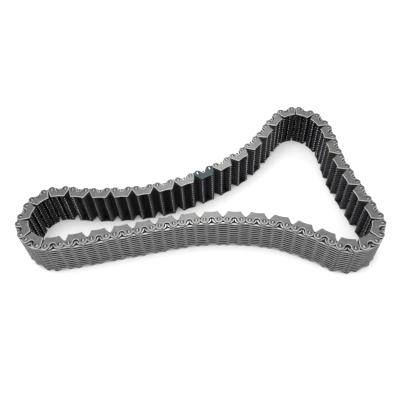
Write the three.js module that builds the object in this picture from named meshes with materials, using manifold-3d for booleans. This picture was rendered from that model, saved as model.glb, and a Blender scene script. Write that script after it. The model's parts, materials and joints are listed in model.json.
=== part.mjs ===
// Endless inverted-tooth (silent) drive chain for a four-wheel-drive transfer case.
// The loop lies on its side, so its joint axes are parallel to Z. Millimetres, +Z up.
import * as THREE from 'three';
import { mergeVertices } from 'three/addons/utils/BufferGeometryUtils.js';
import Module from 'manifold-3d';

// ---- driving dimensions ------------------------------------------------------------------
const PITCH = 9.525;              // joint centre to joint centre, 3/8 inch
const GUIDE_LINKS = 42;           // each is followed by one inner link, so the loop has 84 pitches
const PLATE = 1.524;              // thickness of one link plate
const PLATES_ACROSS = 25;         // plates side by side across the chain
const WIDTH = PLATE * PLATES_ACROSS;
const INNER_ROW_PLATES = 12;      // plates in an inner link
const GAP = 0.3;                  // running clearance between pieces

const PIN_X = 5.96;               // pin centre from the middle of its own link
const LOBE_R = 3.35;              // rounded end of a guide plate, about its pin
const SHOULDER_IN = 1.25;         // a working plate's back shoulder is centred this far from the pin,
                                  // towards the plate's middle and towards its teeth
const FLANK = THREE.MathUtils.degToRad(26);   // tooth flank, from the plate's middle line
const TOE_DEPTH = 8.3;            // toe tips, from the joint line
const TOE_TIP = 1.7;              // width of the flat tip of a toe
const CROTCH_DEPTH = 3.3;         // top of the space between the toes
const INNER_EDGE_RISE = 0.7;      // how far a guide plate's inner edge is hollowed
const NOTCH_DEPTH = 2.1;          // bottom of a guide plate's back notch, past the joint line

const PIN_R = 1.45;               // round side of a rocker-joint pin
const PIN_FACE = 1.05;            // its rolling face, from the same centre
const SWING_HOLE_R = 2.4;         // lets the other row's pin rock
const SWING_HOLE_IN = 0.9;        // centre of that hole, inboard of the joint centre
const FIXED_HOLE_R = PIN_R + GAP;   // holds a pin or rocker in its own plates

// Fineness of the round stretches: curve segments to a quarter turn, and sides to a hole.
const COARSE = 1;
const MEDIUM = 2;
const FINE = 4;
const COARSE_HOLE = 6;
const MEDIUM_HOLE = 8;
const FINE_HOLE = 12;

// Centre line of the joints as the slack loop lies on a table, clockwise from the marked link.
const LOOP = [
  [0.5, 31], [41.5, 54.5], [62, 75], [72.5, 89.5], [86.5, 103], [104, 105], [121, 93], [128, 77],
  [131.5, 39], [143, -7], [149, -33.5], [139.5, -51], [117.5, -56.5], [93.5, -43], [61, -28],
  [2.5, -20.5], [-63, -28], [-118, -35.5], [-136, -35.5], [-154.5, -18], [-149.5, 10], [-132, 22],
  [-93, 18], [-45.5, 18.5],
];

// ---- materials ---------------------------------------------------------------------------
function metal(color, roughness, metalness) {
  return new THREE.MeshStandardMaterial({ color, roughness, metalness });
}

const steel = () => metal(0x6f7173, 0.42, 0.9);
const toothSteel = () => metal(0x3a3b3d, 0.5, 0.85);
const pinSteel = () => metal(0xa9abad, 0.28, 1);
const marker = () => metal(0x3f5560, 0.5, 0.4);

// ---- solids ------------------------------------------------------------------------------
const wasm = await Module();
wasm.setup();

function solidOf(geometry) {
  geometry.deleteAttribute('normal');
  geometry.deleteAttribute('uv');
  const merged = mergeVertices(geometry, 1e-5);
  const mesh = new wasm.Mesh({
    numProp: 3,
    vertProperties: new Float32Array(merged.attributes.position.array),
    triVerts: new Uint32Array(merged.index.array),
  });
  return new wasm.Manifold(mesh);
}

function geometryOf(solid) {
  const mesh = solid.getMesh();
  const geometry = new THREE.BufferGeometry();
  geometry.setAttribute('position', new THREE.BufferAttribute(mesh.vertProperties, 3));
  geometry.setIndex(new THREE.BufferAttribute(mesh.triVerts, 1));
  geometry.computeVertexNormals();
  return geometry;
}

function prism(shape, low, high, curveSegments) {
  const options = { depth: high - low, bevelEnabled: false, curveSegments };
  const geometry = new THREE.ExtrudeGeometry(shape, options);
  geometry.translate(0, 0, low);
  return geometry;
}

function hole(x, radius, sides) {
  const geometry = new THREE.CylinderGeometry(radius, radius, WIDTH + 2, sides);
  geometry.rotateX(Math.PI / 2);
  geometry.rotateZ(Math.PI / sides);
  geometry.translate(x, 0, WIDTH / 2);
  return solidOf(geometry);
}

// ---- plate outlines: x along the chain, y away from the teeth, joint line at y = 0 --------
const flankTopX = PIN_X + LOBE_R * Math.cos(FLANK);
const flankTopY = -LOBE_R * Math.sin(FLANK);
const toeX = flankTopX - (TOE_DEPTH + flankTopY) * Math.tan(FLANK);

// Working plate: flat back with sloping shoulders, two toes with the crotch between them.
function toothedPlate() {
  const x = PIN_X - SHOULDER_IN;
  const radius = LOBE_R + SHOULDER_IN;
  const reach = (2 * LOBE_R + 3 * SHOULDER_IN) / (2 * Math.SQRT2);   // to the lobe's circle, at 45 degrees
  const start = Math.PI / 4 - Math.acos(reach / radius);
  const shape = new THREE.Shape();
  shape.moveTo(toeX, -TOE_DEPTH);
  shape.lineTo(flankTopX, flankTopY);
  shape.absarc(x, -SHOULDER_IN, radius, start, Math.PI / 2, false);
  shape.absarc(-x, -SHOULDER_IN, radius, Math.PI / 2, Math.PI - start, false);
  shape.lineTo(-flankTopX, flankTopY);
  shape.lineTo(-toeX, -TOE_DEPTH);
  shape.lineTo(-toeX + TOE_TIP, -TOE_DEPTH);
  shape.lineTo(0, -CROTCH_DEPTH);
  shape.lineTo(toeX - TOE_TIP, -TOE_DEPTH);
  shape.closePath();
  return shape;
}

// Guide plate: no crotch, but a back notch, an arc tangent to both lobes.
function guidePlate() {
  const notchR = (PIN_X ** 2 + NOTCH_DEPTH ** 2 - LOBE_R ** 2) / (2 * (LOBE_R + NOTCH_DEPTH));
  const notchY = notchR - NOTCH_DEPTH;
  const touch = Math.atan2(notchY, PIN_X);
  const shape = new THREE.Shape();
  shape.moveTo(toeX, -TOE_DEPTH);
  shape.lineTo(flankTopX, flankTopY);
  shape.absarc(PIN_X, 0, LOBE_R, -FLANK, Math.PI / 2, false);
  shape.absarc(PIN_X, 0, LOBE_R, Math.PI / 2, Math.PI - touch, false);
  shape.absarc(0, notchY, notchR, -touch, -Math.PI + touch, true);
  shape.absarc(-PIN_X, 0, LOBE_R, touch, Math.PI / 2, false);
  shape.absarc(-PIN_X, 0, LOBE_R, Math.PI / 2, Math.PI + FLANK, false);
  shape.lineTo(-toeX, -TOE_DEPTH);
  shape.lineTo(0, -TOE_DEPTH + INNER_EDGE_RISE);
  shape.closePath();
  return shape;
}

// Rocker-joint pin: a round bar with a rolling face on the side of its partner.
function pinSection(x, facing) {
  const half = Math.acos(PIN_FACE / PIN_R);
  const start = facing > 0 ? half : Math.PI + half;
  const shape = new THREE.Shape();
  shape.absarc(x, 0, PIN_R, start, start + 2 * (Math.PI - half), false);
  shape.closePath();
  return shape;
}

// ---- heights of the rows -----------------------------------------------------------------
const innerHalf = (INNER_ROW_PLATES * PLATE) / 2;
const innerLow = WIDTH / 2 - innerHalf + GAP / 2;
const innerHigh = WIDTH / 2 + innerHalf - GAP / 2;
const lowPack = [PLATE, WIDTH / 2 - innerHalf];
const highPack = [WIDTH / 2 + innerHalf, WIDTH - PLATE];

// ---- the joints along the loop -------------------------------------------------------------
const HALVINGS = 40;              // steps of each search by halving
const LONGEST_STEP = 0.025;       // share of the loop that always holds one pitch or more
const LEAST_SCALE = 0.97;
const MOST_SCALE = 1.03;

// Steps round the loop one pitch at a time, and says how many turns the steps make.
function walkLoop(scale) {
  const points = LOOP.map(([x, y]) => new THREE.Vector3(x * scale, y * scale, 0));
  const curve = new THREE.CatmullRomCurve3(points, true, 'centripetal');
  const joints = [curve.getPoint(0)];
  let low = 0;
  for (let i = 0; i < 2 * GUIDE_LINKS; i += 1) {
    const from = joints[i];
    let high = low + LONGEST_STEP;
    for (let k = 0; k < HALVINGS; k += 1) {
      const middle = (low + high) / 2;
      const short = curve.getPoint(middle % 1).distanceTo(from) < PITCH;
      if (short) low = middle;
      else high = middle;
    }
    joints.push(curve.getPoint(high % 1));
  }
  return { joints, turns: low };
}

// The loop is scaled until a whole turn takes exactly all the pitches.
function closedLoop() {
  let small = LEAST_SCALE;
  let large = MOST_SCALE;
  for (let k = 0; k < HALVINGS; k += 1) {
    const middle = (small + large) / 2;
    if (walkLoop(middle).turns > 1) small = middle;
    else large = middle;
  }
  return walkLoop(large).joints;
}

// ---- one link: a guide link and the inner link that follows it ------------------------------
// Moves a solid from the middle of the guide link to the middle of its inner link.
function place(solid, bend) {
  const x = PITCH / 2 + (PITCH / 2) * Math.cos(bend);
  const y = (PITCH / 2) * Math.sin(bend);
  return solid.rotate([0, 0, THREE.MathUtils.radToDeg(bend)]).translate([x, y, 0]);
}

// One closed body. Its pins reach one plate into the packs, which hold them.
function linkSolid(bend, roomForRocker) {
  const swingX = PITCH / 2 - SWING_HOLE_IN;
  let packs = solidOf(prism(toothedPlate(), ...lowPack, COARSE));
  packs = packs.add(solidOf(prism(toothedPlate(), ...highPack, COARSE)));
  if (roomForRocker) packs = packs.subtract(hole(-swingX, SWING_HOLE_R, MEDIUM_HOLE));
  let link = packs.add(solidOf(prism(guidePlate(), 0, PLATE, COARSE)));
  link = link.add(solidOf(prism(guidePlate(), WIDTH - PLATE, WIDTH, COARSE)));
  const inner = solidOf(prism(toothedPlate(), innerLow, innerHigh, COARSE));
  link = link.add(place(inner.subtract(hole(swingX, SWING_HOLE_R, COARSE_HOLE)), bend));
  const pinLow = lowPack[1] - PLATE;
  const pinHigh = highPack[0] + PLATE;
  link = link.add(solidOf(prism(pinSection(-PIN_X, 1), pinLow, pinHigh, MEDIUM)));
  link = link.add(solidOf(prism(pinSection(PIN_X, -1), pinLow, pinHigh, COARSE)));
  return link;
}

function meshOf(name, solid, material) {
  const mesh = new THREE.Mesh(geometryOf(solid), material);
  mesh.name = name;
  return mesh;
}

function plainLink(number, bend) {
  const name = `link_${String(number).padStart(2, '0')}`;
  return [meshOf(name, linkSolid(bend, number === 2), steel())];
}

// ---- the marked link, with its real pieces apart --------------------------------------------
function markedLink(bend) {
  const guide = (low, high) => {
    const plate = solidOf(prism(guidePlate(), low, high, FINE));
    const ahead = hole(PIN_X, FIXED_HOLE_R, FINE_HOLE);
    const behind = hole(-PIN_X, FIXED_HOLE_R, FINE_HOLE);
    return plate.subtract(ahead).subtract(behind);
  };
  const toothed = (low, high) => {
    let plate = solidOf(prism(toothedPlate(), low, high, MEDIUM));
    for (const side of [-1, 1]) {
      plate = plate.subtract(hole(side * PIN_X, FIXED_HOLE_R, MEDIUM_HOLE));
      plate = plate.subtract(hole(side * (PITCH / 2 - SWING_HOLE_IN), SWING_HOLE_R, MEDIUM_HOLE));
    }
    return plate;
  };
  const pin = (x, facing, low, high) => solidOf(prism(pinSection(x, facing), low, high, FINE));

  const pieces = [
    meshOf('marked_guide_plate_top', guide(WIDTH - PLATE, WIDTH), marker()),
    meshOf('marked_guide_plate_bottom', guide(0, PLATE), steel()),
    meshOf('marked_guide_row_plates_upper', toothed(highPack[0], highPack[1] - GAP), toothSteel()),
    meshOf('marked_guide_row_plates_lower', toothed(lowPack[0] + GAP, lowPack[1]), toothSteel()),
    meshOf('marked_pin_leading', pin(PIN_X, -1, 0, WIDTH), pinSteel()),
    meshOf('marked_pin_trailing', pin(-PIN_X, 1, 0, WIDTH), pinSteel()),
  ];
  const pairs = INNER_ROW_PLATES / 2;
  for (let i = 0; i < pairs; i += 1) {
    const low = WIDTH / 2 - innerHalf + 2 * PLATE * i;
    const pair = toothed(low + GAP / 2, low + 2 * PLATE - GAP / 2);
    pieces.push(meshOf(`marked_inner_plate_pair_${i + 1}`, place(pair, bend), toothSteel()));
  }
  const rockerLow = PLATE + GAP;
  const rockerHigh = WIDTH - PLATE - GAP;
  const rockers = [['leading', 1], ['trailing', -1]];
  for (const [end, side] of rockers) {
    const rocker = pin(side * PIN_X, -side, rockerLow, rockerHigh);
    pieces.push(meshOf(`marked_rocker_${end}`, place(rocker, bend), pinSteel()));
  }
  return pieces;
}

// ---- the whole chain ------------------------------------------------------------------------
const chain = new THREE.Group();
const joints = closedLoop();

for (let i = 0; i < GUIDE_LINKS; i += 1) {
  const [start, middle, end] = [joints[2 * i], joints[2 * i + 1], joints[2 * i + 2]];
  const heading = Math.atan2(middle.y - start.y, middle.x - start.x);
  const next = Math.atan2(end.y - middle.y, end.x - middle.x);
  const bend = Math.atan2(Math.sin(next - heading), Math.cos(next - heading));
  const link = new THREE.Group();
  link.position.copy(start).lerp(middle, 0.5);
  link.rotation.z = heading;
  const pieces = i === 0 ? markedLink(bend) : plainLink(i + 1, bend);
  link.add(...pieces);
  chain.add(link);
}

// The origin is under the middle of the loop's box, on the surface that it lies on.
chain.updateMatrixWorld(true);
const box = new THREE.Box3().setFromObject(chain, true);
const middle = box.getCenter(new THREE.Vector3());
chain.position.set(-middle.x, -middle.y, 0);

export default chain;
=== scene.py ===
"""Looks of an endless inverted-tooth drive chain: every plate, pin and rocker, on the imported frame."""

import json
import math
import random

import bpy
import numpy as np
from mathutils import Matrix, Vector
from mathutils.geometry import tessellate_polygon

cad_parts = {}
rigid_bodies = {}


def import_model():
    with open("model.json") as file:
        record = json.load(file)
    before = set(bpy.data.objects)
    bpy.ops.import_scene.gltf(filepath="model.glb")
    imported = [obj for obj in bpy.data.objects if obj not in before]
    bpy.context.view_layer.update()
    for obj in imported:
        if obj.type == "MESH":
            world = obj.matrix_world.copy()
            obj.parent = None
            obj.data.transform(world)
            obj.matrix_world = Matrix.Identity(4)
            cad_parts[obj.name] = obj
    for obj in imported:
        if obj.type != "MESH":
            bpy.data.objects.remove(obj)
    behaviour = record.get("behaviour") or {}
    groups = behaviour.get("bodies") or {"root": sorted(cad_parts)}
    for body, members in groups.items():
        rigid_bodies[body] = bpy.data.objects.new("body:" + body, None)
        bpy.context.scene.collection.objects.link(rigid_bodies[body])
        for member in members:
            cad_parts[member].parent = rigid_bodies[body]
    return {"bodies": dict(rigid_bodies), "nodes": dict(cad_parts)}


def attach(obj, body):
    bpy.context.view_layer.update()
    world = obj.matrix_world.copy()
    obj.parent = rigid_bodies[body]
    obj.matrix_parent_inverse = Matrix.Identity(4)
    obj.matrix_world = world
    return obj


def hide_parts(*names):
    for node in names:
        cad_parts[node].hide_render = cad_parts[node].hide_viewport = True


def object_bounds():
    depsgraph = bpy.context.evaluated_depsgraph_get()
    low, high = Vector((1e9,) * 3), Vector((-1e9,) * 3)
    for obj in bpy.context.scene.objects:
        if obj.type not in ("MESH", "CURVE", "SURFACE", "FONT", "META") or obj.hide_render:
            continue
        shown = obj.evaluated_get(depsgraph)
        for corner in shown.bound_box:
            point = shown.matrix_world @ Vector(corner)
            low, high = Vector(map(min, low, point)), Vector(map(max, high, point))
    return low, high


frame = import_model()
cad_low, cad_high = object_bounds()

# ---- driving sizes, in metres ----------------------------------------------------------------
MM = 0.001
WIDTH = cad_high.z - cad_low.z        # across the chain
PLATES_ACROSS = 25
PLATE = WIDTH / PLATES_ACROSS
PITCH = 9.525 * MM
PIN_X = 5.96 * MM                     # pin centre from the middle of its own link
LOBE_R = 3.35 * MM
SHOULDER_IN = 1.25 * MM               # centre of a working plate's back shoulder, in from its pin
FLANK = math.radians(26)              # tooth flank, from the plate's middle line
TOE_DEPTH = 8.3 * MM
TOE_TIP = 1.7 * MM
TOE_ROUND = 0.35 * MM
CROTCH_SIDE = math.radians(34.3)      # side of the space between the toes, from the middle line
CROTCH_R = 1.0 * MM
INNER_EDGE_RISE = 0.7 * MM            # hollow of a guide plate's inner edge
NOTCH_DEPTH = 2.1 * MM                # bottom of a guide plate's back notch, past the joint line
PIN_R = 1.45 * MM
PIN_FACE = 1.05 * MM                  # middle of the rolling face, from the pin's centre
PIN_FACE_R = 2.6 * MM                 # its crown
PIN_SHORT = 0.05 * MM                 # a pin's end, under the plates' outer side
PIN_RISE = 0.4 * MM                   # height of its peened end
ROCKER_SHORT = 0.1 * MM               # a rocker's end, under the guide plate
ROCKER_RISE = 0.2 * MM
PIN_HOLE_R = 1.55 * MM
SWING_R = 2.4 * MM                    # room for the other row's pin
SWING_IN = 0.9 * MM                   # centre of that room, inboard of the joint
TOE_X = PIN_X + LOBE_R * math.cos(FLANK) - (TOE_DEPTH - LOBE_R * math.sin(FLANK)) * math.tan(FLANK)

# ---- edges, wear, painted highlights and painted shade -----------------------------------------
WORKING_CHAMFER = 0.28 * MM
BARED_CHAMFER = 0.15 * MM
GUIDE_CHAMFER = 0.3 * MM
MOUTH_CHAMFER = 0.1 * MM              # round a guide plate's pin holes
LIT_BORDER_WIDTH = 0.8 * MM                  # border of the working plates that the notches bare, painted bright as a highlight
BORDER_FALL = 0.04 * MM                  # its fall to the plate's edge
BORDER_START = -1.2 * MM                 # its start, towards the teeth
TIP_WEAR = 0.75 * MM                  # width of a toe tip's worn corner and its painted highlight
SPAN_X = 4.3 * MM                     # half width of the bare back between two joints, painted brighter as a highlight
SHOULDER_SHADE = 0.12 * MM            # a working plate's shoulders below this are in the shade
LOBE_SHADE = 0.5 * MM                 # a guide plate's lobes catch light down to this depth
BENT = math.radians(25)               # turn over four pitches from which the loop counts as bent
PLAY = 0.05 * MM                      # largest shift of a working plate from its true place
SHARP = math.radians(35)              # edges sharper than this are not shaded smooth

# ---- steps of the arcs -------------------------------------------------------------------------
LOBE_STEPS = 6
WORKING_CORNER_STEPS = 2
GUIDE_CORNER_STEPS = 4
HOLLOW_STEPS = 5                      # half of a guide plate's inner edge
PEAR_STEPS = 4
PIN_HOLE_STEPS = 24
PIN_STEPS = 28
ROCKER_STEPS = 14
CROWN_STEPS = 4                       # a pin's or rocker's rolling face
SHARPEST = 0.3                        # least cosine of half a corner's turn, for moving it inwards

# Slots of every plate: walls of the back, walls in the shade.
BACK, SHADE = range(2)
# More slots of a guide plate: flat sides, chamfers painted bright as a highlight.
FLAT, EDGE = range(2, 4)
# More slots of a working plate: worn toe tips, painted lit as a highlight on the trailing side and in
# shade on the leading side, borders that the notches bare, painted bright as a highlight, flat sides
# that other plates cover, painted near black as shade, walls of the back between the joints, painted
# brighter as a highlight.
TIP, FAINT, LIT_BORDER, SHADED_FLAT, SPAN = range(2, 7)
# Slots of a pin: ridge across its end, painted bright as a highlight, the rest.
RIDGE, SLOPE = range(2)

draw = random.Random(7)


# ---- outlines: x along the chain, y away from the teeth, joint line at y = 0 --------------------
def arc(x, y, radius, start, end, steps):
    """Points of an arc, both ends included, with angles in degrees."""
    angles = [math.radians(start + (end - start) * i / steps) for i in range(steps + 1)]
    return [(x + radius * math.cos(a), y + radius * math.sin(a)) for a in angles]


def rounded(before, corner, after, radius, steps):
    """The corner as an arc that touches both of its sides."""
    corner, before, after = Vector(corner), Vector(before), Vector(after)
    to_before, to_after = (before - corner).normalized(), (after - corner).normalized()
    half = to_before.angle(to_after) / 2
    middle = (to_before + to_after).normalized()
    centre = corner + middle * (radius / math.sin(half))
    first = corner + to_before * (radius / math.tan(half)) - centre
    last = corner + to_after * (radius / math.tan(half)) - centre
    turn = first.angle_signed(last)
    points = []
    for i in range(steps + 1):
        swung = first.copy()
        swung.rotate(Matrix.Rotation(-turn * i / steps, 2))
        points.append(tuple(centre + swung))
    return points


def mirrored(points):
    """The outline's other half, in the order that carries on round the plate."""
    return [(-x, y) for x, y in reversed(points)]


def right_toe(inner_corner, steps):
    """The outer end of the right toe, from the inner edge round to the flank."""
    corner = (TOE_X, -TOE_DEPTH)
    flank_top = (PIN_X + LOBE_R * math.cos(FLANK), -LOBE_R * math.sin(FLANK))
    return rounded(inner_corner, corner, flank_top, TOE_ROUND, steps)


def working_outline():
    """Flat back, two toes and the crotch between them, anticlockwise from the crotch's middle."""
    tip = (TOE_X - TOE_TIP, -TOE_DEPTH)
    sine, cosine = math.sin(CROTCH_SIDE), math.cos(CROTCH_SIDE)
    crotch_y = (tip[0] * cosine - CROTCH_R) / sine - TOE_DEPTH
    crotch = arc(0, crotch_y, CROTCH_R, math.degrees(CROTCH_SIDE), 90, WORKING_CORNER_STEPS)
    right = crotch[::-1]
    right += rounded(right[-1], tip, (TOE_X, -TOE_DEPTH), TOE_ROUND, WORKING_CORNER_STEPS)
    right += right_toe(tip, WORKING_CORNER_STEPS)
    # The back shoulder is an arc of its own, which cuts the lobe's circle.
    radius = LOBE_R + SHOULDER_IN
    reach = (2 * LOBE_R + 3 * SHOULDER_IN) / (2 * math.sqrt(2))
    start = 45 - math.degrees(math.acos(reach / radius))
    right.append((PIN_X + LOBE_R * math.cos(FLANK), -LOBE_R * math.sin(FLANK)))
    right += arc(PIN_X - SHOULDER_IN, -SHOULDER_IN, radius, start, 90, LOBE_STEPS)
    return right + mirrored(right[1:])


def guide_outline():
    """A hollow inner edge, and a back notch that touches both lobes."""
    flank = math.degrees(FLANK)
    notch_r = (PIN_X**2 + NOTCH_DEPTH**2 - LOBE_R**2) / (2 * (LOBE_R + NOTCH_DEPTH))
    notch_y = notch_r - NOTCH_DEPTH
    touch = math.degrees(math.atan2(notch_y, PIN_X))
    edge_r = (TOE_X**2 + INNER_EDGE_RISE**2) / (2 * INNER_EDGE_RISE)
    reach = math.degrees(math.asin((TOE_X - 2 * TOE_ROUND) / edge_r))
    edge = arc(0, -TOE_DEPTH + INNER_EDGE_RISE - edge_r, edge_r, 90, 90 - reach, HOLLOW_STEPS)
    right = edge + right_toe(edge[-1], GUIDE_CORNER_STEPS)
    right += arc(PIN_X, 0, LOBE_R, -flank, 180 - touch, 2 * LOBE_STEPS)
    right += arc(0, notch_y, notch_r, -touch, -90, LOBE_STEPS)[1:]
    return right + mirrored(right[1:-1])


def pear_hole(side):
    """Hole of a working plate: tight round its own pin or rocker, wide where the other one swings."""
    wide_x = PITCH / 2 - SWING_IN
    lean = math.degrees(math.asin((SWING_R - PIN_HOLE_R) / (PIN_X - wide_x)))
    points = arc(PIN_X, 0, PIN_HOLE_R, lean - 90, 90 - lean, PEAR_STEPS)
    points += arc(wide_x, 0, SWING_R, 90 - lean, 270 + lean, PEAR_STEPS + 2)
    return points if side > 0 else mirrored(points)


def pin_hole(side):
    return arc(side * PIN_X, 0, PIN_HOLE_R, 0, 360, PIN_HOLE_STEPS)[:-1]


def pin_outline(x, facing, steps):
    """Round bar with a crowned rolling face towards its partner."""
    offset = PIN_FACE_R - PIN_FACE
    corner_x = (PIN_FACE_R**2 - PIN_R**2 - offset**2) / (2 * offset)
    corner_y = math.sqrt(PIN_R**2 - corner_x**2)
    half = math.degrees(math.atan2(corner_y, corner_x))
    crown = math.degrees(math.asin(corner_y / PIN_FACE_R))
    turned = 0 if facing > 0 else 180
    back = arc(x, 0, PIN_R, turned + half, turned + 360 - half, steps)
    face = arc(x - facing * offset, 0, PIN_FACE_R, turned - crown, turned + crown, CROWN_STEPS)
    return back + face[1:-1]


# ---- meshes ----------------------------------------------------------------------------------
class Shell:
    """Points and faces of one repeated shape, each face with its slot."""

    def __init__(self):
        self.points = []
        self.faces = []
        self.slots = []

    def ring(self, outline, height):
        start = len(self.points)
        self.points += [(x, y, height) for x, y in outline]
        return list(range(start, start + len(outline)))

    def wall(self, low, high, slots):
        count = len(low)
        for i in range(count):
            j = (i + 1) % count
            self.faces.append((low[i], low[j], high[j], high[i]))
            self.slots.append(slots[i])

    def cap(self, rings, up, slot):
        """Closes the outer ring, less the holes' rings, with triangles."""
        order = [i for ring in rings for i in ring]
        outlines = [[Vector(self.points[i]) for i in ring] for ring in rings]
        for a, b, c in tessellate_polygon(outlines):
            pa, pb, pc = (Vector(self.points[order[i]][:2]) for i in (a, b, c))
            area = (pb - pa).cross(pc - pa)
            face = (order[a], order[b], order[c]) if (area > 0) == up else (order[a], order[c], order[b])
            self.faces.append(face)
            self.slots.append(slot)


def inset(outline, depth, back_depth=None):
    """The outline moved inwards, on the back side by back_depth if given, with its corners kept."""
    points = [Vector(p) for p in outline]
    moved = []
    for i, point in enumerate(points):
        ahead = points[(i + 1) % len(points)] - point
        behind = point - points[i - 1]
        left_a = Vector((-ahead.y, ahead.x)).normalized()
        left_b = Vector((-behind.y, behind.x)).normalized()
        middle = (left_a + left_b).normalized()
        deep = back_depth if back_depth and point.y > BORDER_START else depth
        moved.append(tuple(point + middle * (deep / max(SHARPEST, middle.dot(left_a)))))
    return moved


def tip_slot(x, y):
    """Slot of a worn toe corner, or None elsewhere. The trailing corner is painted lit as a highlight,
    the leading one painted in shade.
    """
    if y > -TOE_DEPTH + 2 * TOE_ROUND or abs(x) < TOE_X - TIP_WEAR:
        return None
    return TIP if x < 0 else FAINT


def working_wall(x, y):
    """Slot of a working plate's wall at a point of its outline. The back between the joints is painted
    brighter as a highlight, the walls below the back's top are painted shade.
    """
    if y < LOBE_R - SHOULDER_SHADE:
        return tip_slot(x, y) or SHADE
    return SPAN if abs(x) < SPAN_X else BACK


def working_rim(x, y):
    """Slot of its chamfers: painted shade, except on the worn toe corners."""
    return tip_slot(x, y) or SHADE


def bared_wall(x, y):
    """The shoulders face into the notch above, in the shade."""
    return SHADE if abs(x) > PIN_X else working_wall(x, y)


# The border that the notches bare is painted bright as a highlight.
def lit_border_rim(x, y):
    return LIT_BORDER if y > BORDER_START else working_rim(x, y)


def guide_wall(x, y):
    """Only the backs of the lobes catch light."""
    return BACK if y > LOBE_R - LOBE_SHADE else SHADE


# The upper chamfers of the top guide plates carry a painted highlight.
def outer_top_rim(x, y):
    return EDGE


def outer_bottom_rim(x, y):
    return BACK if y > 0 else SHADE


def inner_rim(x, y):
    return SHADE


def plate_shell(outline, holes, chamfer, wall_slot, rim_slots, flat_slot, mouth=0.0, border=None):
    """A plate with lower and upper chamfered rims. A mouth is the chamfer of its holes, and a border
    is the width of a strip along the upper side's back, which the notches bare and which is painted
    bright as a highlight."""
    shell = Shell()
    fall = BORDER_FALL if border else chamfer
    levels = [(inset(outline, chamfer), 0), (outline, chamfer), (outline, PLATE - fall)]
    levels.append((inset(outline, chamfer, border), PLATE))
    rings = [shell.ring(points, height) for points, height in levels]
    middles = [(Vector(p) + Vector(q)) / 2 for p, q in zip(outline, outline[1:] + outline[:1])]
    low_rims, high_rims = ([rim_slot(*middle) for middle in middles] for rim_slot in rim_slots)
    shell.wall(rings[0], rings[1], low_rims)
    shell.wall(rings[1], rings[2], [wall_slot(*middle) for middle in middles])
    shell.wall(rings[2], rings[3], high_rims)
    low_rings = [rings[0]]
    high_rings = [rings[3]]
    for points in holes:
        clockwise = points[::-1]
        wide = inset(points, -mouth)[::-1]
        heights = [0, mouth, PLATE - mouth, PLATE] if mouth else [0, PLATE]
        walls = [shell.ring(wide if height in (0, PLATE) else clockwise, height) for height in heights]
        for low_ring, high_ring in zip(walls, walls[1:]):
            shell.wall(low_ring, high_ring, [SHADE] * len(points))
        low_rings.append(walls[0])
        high_rings.append(walls[-1])
    shell.cap(low_rings, False, flat_slot)
    shell.cap(high_rings, True, flat_slot)
    return shell


def pin_shell(x, facing, low, high, steps, rise):
    """A bar whose peened ends have a narrow ridge across the chain, with slopes on both sides of it."""
    shell = Shell()
    outline = pin_outline(x, facing, steps)
    # Share of the rise below the end, then shares of the pin's width and length.
    profile = [(1.0, 1.0, 1.0), (0.5, 0.8, 0.98), (0.15, 0.4, 0.97), (0.0, 0.22, 0.96)]
    levels = [(low + rise * down, wide, long) for down, wide, long in reversed(profile)]
    levels += [(high - rise * down, wide, long) for down, wide, long in profile]
    rings = []
    for height, wide, long in levels:
        rings.append(shell.ring([(x + (px - x) * wide, py * long) for px, py in outline], height))
    for lower, upper in zip(rings, rings[1:]):
        shell.wall(lower, upper, [SLOPE] * len(outline))
    shell.cap([rings[0]], False, RIDGE)
    shell.cap([rings[-1]], True, RIDGE)
    return shell


def placed(shell, centre, heading, height, jitter=0.0):
    """The shell's points in the frame, with a little random play of each copy."""
    points = np.array(shell.points)
    turn = heading + draw.uniform(-1, 1) * jitter / PITCH
    cosine, sine = math.cos(turn), math.sin(turn)
    x = points[:, 0] + draw.uniform(-1, 1) * jitter
    y = points[:, 1] + draw.uniform(-1, 1) * jitter
    frame_x = centre.x + cosine * x - sine * y
    frame_y = centre.y + sine * x + cosine * y
    return np.stack([frame_x, frame_y, points[:, 2] + height], 1)


def make_piece(name, parts, materials, body, nodes=()):
    """One object from (shell, points) parts. It rides on a body and stands for CAD nodes."""
    points = []
    faces = []
    slots = []
    start = 0
    for shell, where in parts:
        points.append(where)
        faces += [tuple(start + i for i in face) for face in shell.faces]
        slots += shell.slots
        start += len(where)
    mesh = bpy.data.meshes.new(name)
    mesh.from_pydata(np.concatenate(points).tolist(), [], faces)
    for material in materials:
        mesh.materials.append(material)
    mesh.polygons.foreach_set("material_index", slots)
    mesh.polygons.foreach_set("use_smooth", [True] * len(faces))
    mesh.set_sharp_from_angle(angle=SHARP)
    mesh.update()
    piece = bpy.data.objects.new(name, mesh)
    bpy.context.scene.collection.objects.link(piece)
    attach(piece, body)
    if nodes:
        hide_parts(*nodes)


# ---- materials ---------------------------------------------------------------------------------
BLOTCH_SCALE = 260                    # noise cells to the metre
SPECK_SCALE = 2600
SPECK_SHARE = 0.55                    # of the tone's noise; the blotches have the rest
TONE_ENDS = (0.34, 0.66)              # noise levels of the dark and the light tone
ROUGH_ENDS = (0.3, 0.7)               # noise levels of the least and the greatest roughness
GRAIN = 0.01 * MM                     # height of the grain
GRAIN_STRENGTH = 0.6


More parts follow.
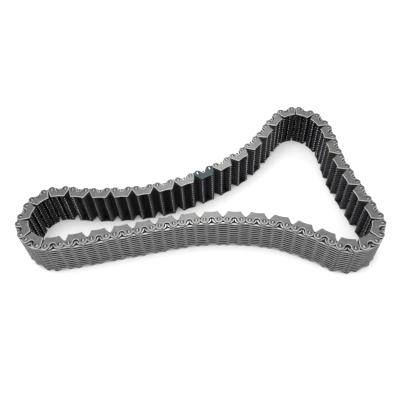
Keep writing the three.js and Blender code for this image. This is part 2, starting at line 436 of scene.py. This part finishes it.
def steel(name, dark, light, roughness, metallic=1.0):
    """Worn steel: blotches and fine specks between two tones, blotched roughness, a fine grain."""
    material = bpy.data.materials.new(name)
    material.use_nodes = True
    tree = material.node_tree
    shader = tree.nodes["Principled BSDF"]
    shader.inputs["Metallic"].default_value = metallic
    place = tree.nodes.new("ShaderNodeTexCoord").outputs["Object"]

    def node(kind, **values):
        made = tree.nodes.new(kind)
        for key, value in values.items():
            made.inputs[key.replace("_", " ")].default_value = value
        return made

    def noise(scale, detail):
        made = node("ShaderNodeTexNoise", Scale=scale, Detail=detail, Roughness=0.6)
        tree.links.new(place, made.inputs["Vector"])
        return made.outputs["Fac"]

    def share(source, factor, added=None):
        """The source's value times the factor, plus another value if one is given."""
        made = tree.nodes.new("ShaderNodeMath")
        made.operation = "MULTIPLY" if added is None else "MULTIPLY_ADD"
        made.inputs[1].default_value = factor
        tree.links.new(source, made.inputs[0])
        if added is not None:
            tree.links.new(added, made.inputs[2])
        return made.outputs[0]

    blotches = noise(BLOTCH_SCALE, 4)
    specks = noise(SPECK_SCALE, 3)

    tone = tree.nodes.new("ShaderNodeValToRGB")
    for stop, position, colour in zip(tone.color_ramp.elements, TONE_ENDS, (dark, light)):
        stop.position = position
        stop.color = (*colour, 1)
    tree.links.new(share(specks, SPECK_SHARE, share(blotches, 1 - SPECK_SHARE)), tone.inputs["Fac"])
    tree.links.new(tone.outputs["Color"], shader.inputs["Base Color"])

    spread = node("ShaderNodeMapRange", From_Min=ROUGH_ENDS[0], From_Max=ROUGH_ENDS[1])
    spread.inputs["To Min"].default_value = roughness[0]
    spread.inputs["To Max"].default_value = roughness[1]
    tree.links.new(blotches, spread.inputs["Value"])
    tree.links.new(spread.outputs["Result"], shader.inputs["Roughness"])

    bump = node("ShaderNodeBump", Strength=GRAIN_STRENGTH, Distance=GRAIN)
    tree.links.new(specks, bump.inputs["Height"])
    tree.links.new(bump.outputs["Normal"], shader.inputs["Normal"])
    return material


def grey(level, warm=0.0):
    """A grey tone, with a share more red and less blue if it is warm."""
    return (level * (1 + warm), level, level * (1 - warm))


flat_steel = steel("flat_steel", grey(0.1, 0.005), grey(0.165, 0.02), (0.3, 0.42))
# Chamfers painted much brighter than the flats, as a highlight.
edge_highlight_steel = steel("edge_highlight_steel", grey(0.6), grey(0.85), (0.3, 0.45))
back_steel = steel("back_steel", grey(0.085), grey(0.145, 0.01), (0.35, 0.5))
# Backs between the joints, painted brighter as a highlight.
lit_span_steel = steel("lit_span_steel", grey(0.26), grey(0.4, 0.01), (0.35, 0.5))
shade_steel = steel("shade_steel", grey(0.004), grey(0.01), (0.5, 0.7), 0.6)
# Borders that the notches bare, painted bright as a highlight.
lit_border_steel = steel("lit_border_steel", grey(0.3), grey(0.44), (0.25, 0.38))
# Dark oxide of the teeth; on the working plates it also fills the shaded walls and chamfers as painted
# shade.
tooth_steel = steel("tooth_steel", (0.012, 0.012, 0.015), (0.05, 0.05, 0.056), (0.35, 0.6), 0.85)
# Worn toe corners: the trailing one painted lit as a highlight, the leading one painted in shade.
worn_tip_highlight = steel("worn_tip_highlight", grey(0.7), grey(0.98), (0.3, 0.5))
shaded_worn_tip = steel("shaded_worn_tip", grey(0.08), grey(0.3), (0.3, 0.5))
# The pins' end ridges are painted bright as a highlight, brighter still on the marked link.
pin_ridge_highlight = steel("pin_ridge_highlight", grey(0.3), grey(0.48), (0.25, 0.4))
bright_ridge_highlight = steel("bright_ridge_highlight", grey(0.75), grey(0.95), (0.25, 0.4))
pin_slope = steel("pin_slope", grey(0.13), grey(0.22), (0.3, 0.45))
marker_flat = steel("marker_flat", (0.021, 0.031, 0.038), (0.041, 0.058, 0.069), (0.4, 0.55), 0.7)
# The marker plate's chamfers are painted lighter than its flats, as a highlight.
marker_edge_highlight = steel("marker_edge_highlight", (0.09, 0.12, 0.14), (0.17, 0.22, 0.25), (0.35, 0.5), 0.8)

guide_finish = [back_steel, shade_steel, flat_steel, edge_highlight_steel]
marker_finish = [marker_flat, shade_steel, marker_flat, marker_edge_highlight]
row_finish = [back_steel, tooth_steel, worn_tip_highlight, shaded_worn_tip, lit_border_steel, shade_steel, lit_span_steel]
# Where the loop bends, both corners of a toe catch the light.
bent_finish = [worn_tip_highlight if material == shaded_worn_tip else material for material in row_finish]
pin_finish = [pin_ridge_highlight, pin_slope]
bright_pin_finish = [bright_ridge_highlight, pin_slope]

# ---- where each link lies ------------------------------------------------------------------------
LINKS = len(frame["bodies"])
MARKED = 1                            # the link with the marker plate
MARKED_NODES = {
    "guide_row": ["marked_guide_row_plates_upper", "marked_guide_row_plates_lower"],
    "inner_row": [f"marked_inner_plate_pair_{pair}" for pair in range(1, 7)],
    "pins": ["marked_pin_leading", "marked_pin_trailing"],
    "rockers": ["marked_rocker_leading", "marked_rocker_trailing"],
}
TOUCH = 0.01 * MM                     # points nearer than this to the upper side lie on it


def link_name(number):
    return f"link_{(number - 1) % LINKS + 1:02d}"


def link_pose(number):
    """Middle and heading of a guide link, from the outline of its top plate."""
    node = "marked_guide_plate_top" if number == MARKED else link_name(number)
    corners = set()
    for vertex in frame["nodes"][node].data.vertices:
        if vertex.co.z > cad_high.z - TOUCH:
            corners.add((round(vertex.co.x, 6), round(vertex.co.y, 6)))
    points = [Vector(corner) for corner in sorted(corners)]
    mean = sum(points, Vector((0, 0))) / len(points)
    spread_x = sum((p.x - mean.x) ** 2 for p in points)
    spread_y = sum((p.y - mean.y) ** 2 for p in points)
    spread_xy = sum((p.x - mean.x) * (p.y - mean.y) for p in points)
    angle = math.atan2(2 * spread_xy, spread_x - spread_y) / 2
    along = Vector((math.cos(angle), math.sin(angle)))
    back = Vector((-along.y, along.x))
    depths = [(p - mean).dot(back) for p in points]
    if max(depths) > -min(depths):
        along, back = -along, -back
    # The toe corners are the deepest points near the two ends.
    toes = []
    for side in (-1, 1):
        outer = [p for p in points if side * (p - mean).dot(along) > PIN_X / 2]
        toes.append(min(outer, key=lambda p: (p - mean).dot(back)))
    along = (toes[1] - toes[0]).normalized()
    back = Vector((-along.y, along.x))
    return (toes[0] + toes[1]) / 2 + back * TOE_DEPTH, math.atan2(along.y, along.x)


poses = {number: link_pose(number) for number in range(1, LINKS + 1)}


def end_of(number, side):
    """The joint at the leading (1) or trailing (-1) end of a guide link."""
    centre, heading = poses[number]
    return centre + side * PITCH / 2 * Vector((math.cos(heading), math.sin(heading)))


def inner_pose(number):
    """Middle and heading of the inner link that follows a guide link."""
    start = end_of(number, 1)
    end = end_of(number % LINKS + 1, -1)
    return (start + end) / 2, math.atan2(end.y - start.y, end.x - start.x)


def bends(number):
    """Whether the loop bends towards its teeth near a link."""
    before = poses[(number - 2) % LINKS + 1][1]
    after = poses[number % LINKS + 1][1]
    turn = (before - after + math.pi) % (2 * math.pi) - math.pi
    return turn > BENT


# ---- the chain -------------------------------------------------------------------------------------
def working_shell(chamfer, wall_slot, upper_rim, border=None):
    holes = [pear_hole(1), pear_hole(-1)]
    rims = (working_rim, upper_rim)
    # The flat sides are painted near black as shade.
    return plate_shell(working_outline(), holes, chamfer, wall_slot, rims, SHADED_FLAT, border=border)


def guide_shell(lower_rim, upper_rim):
    holes = [pin_hole(1), pin_hole(-1)]
    rims = (lower_rim, upper_rim)
    return plate_shell(guide_outline(), holes, GUIDE_CHAMFER, guide_wall, rims, FLAT, MOUTH_CHAMFER)


working = working_shell(WORKING_CHAMFER, working_wall, working_rim)
bared = working_shell(BARED_CHAMFER, bared_wall, lit_border_rim, LIT_BORDER_WIDTH)
guide_top = guide_shell(inner_rim, outer_top_rim)
guide_bottom = guide_shell(outer_bottom_rim, inner_rim)


def pair_of_pins(low, steps, rise):
    """The leading and the trailing pin of a link, with their rolling faces towards its middle."""
    return [pin_shell(side * PIN_X, -side, low, WIDTH - low, steps, rise) for side in (1, -1)]


pins = pair_of_pins(PIN_SHORT, PIN_STEPS, PIN_RISE)
rockers = pair_of_pins(PLATE + ROCKER_SHORT, ROCKER_STEPS, ROCKER_RISE)


def layer_shell(layer):
    """The guide plates' notches bare the outer working plates, down to the third plate of the pack."""
    return bared if min(layer, PLATES_ACROSS - 1 - layer) < 3 else working


def row(where, layers):
    """Working plates of one link, in every second layer."""
    shells = {layer: layer_shell(layer) for layer in layers}
    return [(shell, placed(shell, *where, layer * PLATE, PLAY)) for layer, shell in shells.items()]


def bars(shells, where):
    return [(shell, placed(shell, *where, 0)) for shell in shells]


def build_guide_plates(name, where, marked):
    low = (guide_bottom, placed(guide_bottom, *where, 0))
    high = (guide_top, placed(guide_top, *where, WIDTH - PLATE))
    if not marked:
        make_piece(f"{name}_guide_plates", [low, high], guide_finish, name, [name])
        return
    top_node = "marked_guide_plate_top"
    bottom_node = "marked_guide_plate_bottom"
    make_piece(f"{name}_marker_plate", [high], marker_finish, name, [top_node])
    make_piece(f"{name}_guide_plate", [low], guide_finish, name, [bottom_node])


def build_link(number):
    """A guide link and the inner link that follows it."""
    name = link_name(number)
    marked = number == MARKED
    where = poses[number]
    inner = inner_pose(number)
    build_guide_plates(name, where, marked)
    row_look = bent_finish if bends(number) else row_finish
    pin_look = bright_pin_finish if marked else pin_finish
    parts = {
        "guide_row": (row(where, range(2, PLATES_ACROSS - 1, 2)), row_look, "tooth_steel"),
        "inner_row": (row(inner, range(1, PLATES_ACROSS - 1, 2)), row_look, "tooth_steel"),
        "pins": (bars(pins, where), pin_look, "pin_steel"),
        "rockers": (bars(rockers, inner), pin_finish, "pin_steel"),
    }
    for part, (shells, look, slot) in parts.items():
        nodes = MARKED_NODES[part] if marked else ()
        make_piece(f"{name}_{part}", shells, look, name, nodes)


for number in range(1, LINKS + 1):
    build_link(number)


# ---- floor, light and camera -----------------------------------------------------------------------
def build_floor():
    half = 3.0
    mesh = bpy.data.meshes.new("floor")
    corners = [(-half, -half, 0), (half, -half, 0), (half, half, 0), (-half, half, 0)]
    mesh.from_pydata(corners, [], [(0, 1, 2, 3)])
    floor = bpy.data.objects.new("floor", mesh)
    bpy.context.scene.collection.objects.link(floor)
    material = bpy.data.materials.new("white_paper")
    material.use_nodes = True
    shader = material.node_tree.nodes["Principled BSDF"]
    shader.inputs["Base Color"].default_value = (0.93, 0.93, 0.925, 1)
    shader.inputs["Roughness"].default_value = 0.9
    shader.inputs["Specular IOR Level"].default_value = 0.1
    mesh.materials.append(material)


def build_light(name, place, width, height, power, diffuse=True):
    light = bpy.data.lights.new(name, "AREA")
    light.shape = "ELLIPSE"
    light.size = width
    light.size_y = height
    light.energy = power
    lamp = bpy.data.objects.new(name, light)
    lamp.location = place
    lamp.rotation_euler = (-Vector(place)).to_track_quat("-Z", "Y").to_euler()
    lamp.visible_diffuse = diffuse
    bpy.context.scene.collection.objects.link(lamp)


def build_world(strength):
    world = bpy.data.worlds.new("studio")
    world.use_nodes = True
    background = world.node_tree.nodes["Background"]
    background.inputs["Color"].default_value = (1, 1, 1, 1)
    background.inputs["Strength"].default_value = strength
    bpy.context.scene.world = world


def build_camera():
    """The view is from in front and well above, with a slight roll."""
    elevation = math.radians(53.547)
    roll = math.radians(-3.663)
    distance = 412.1 * MM
    aim = Vector((3.33 * MM, -24.42 * MM, cad_high.z))
    forward = Vector((0, math.cos(elevation), -math.sin(elevation)))
    level_up = Vector((0, math.sin(elevation), math.cos(elevation)))
    level_right = Vector((1, 0, 0))
    right = math.cos(roll) * level_right + math.sin(roll) * level_up
    up = math.cos(roll) * level_up - math.sin(roll) * level_right
    data = bpy.data.cameras.new("camera")
    data.sensor_width = 36
    data.lens = 42.77
    camera = bpy.data.objects.new("camera", data)
    turn = Matrix((right, up, -forward)).transposed().to_4x4()
    camera.matrix_world = Matrix.Translation(aim - distance * forward) @ turn
    bpy.context.scene.collection.objects.link(camera)
    bpy.context.scene.camera = camera


build_floor()
build_world(1.15)
build_light("top", (-0.1, 0.0, 1.3), 1.0, 1.0, 10)
# A tall strip behind, seen only as a sheen on the steel.
build_light("strip", (0.04, 0.9, 0.86), 0.2, 1.4, 4, False)
build_camera()
bpy.context.scene.view_settings.view_transform = "Standard"
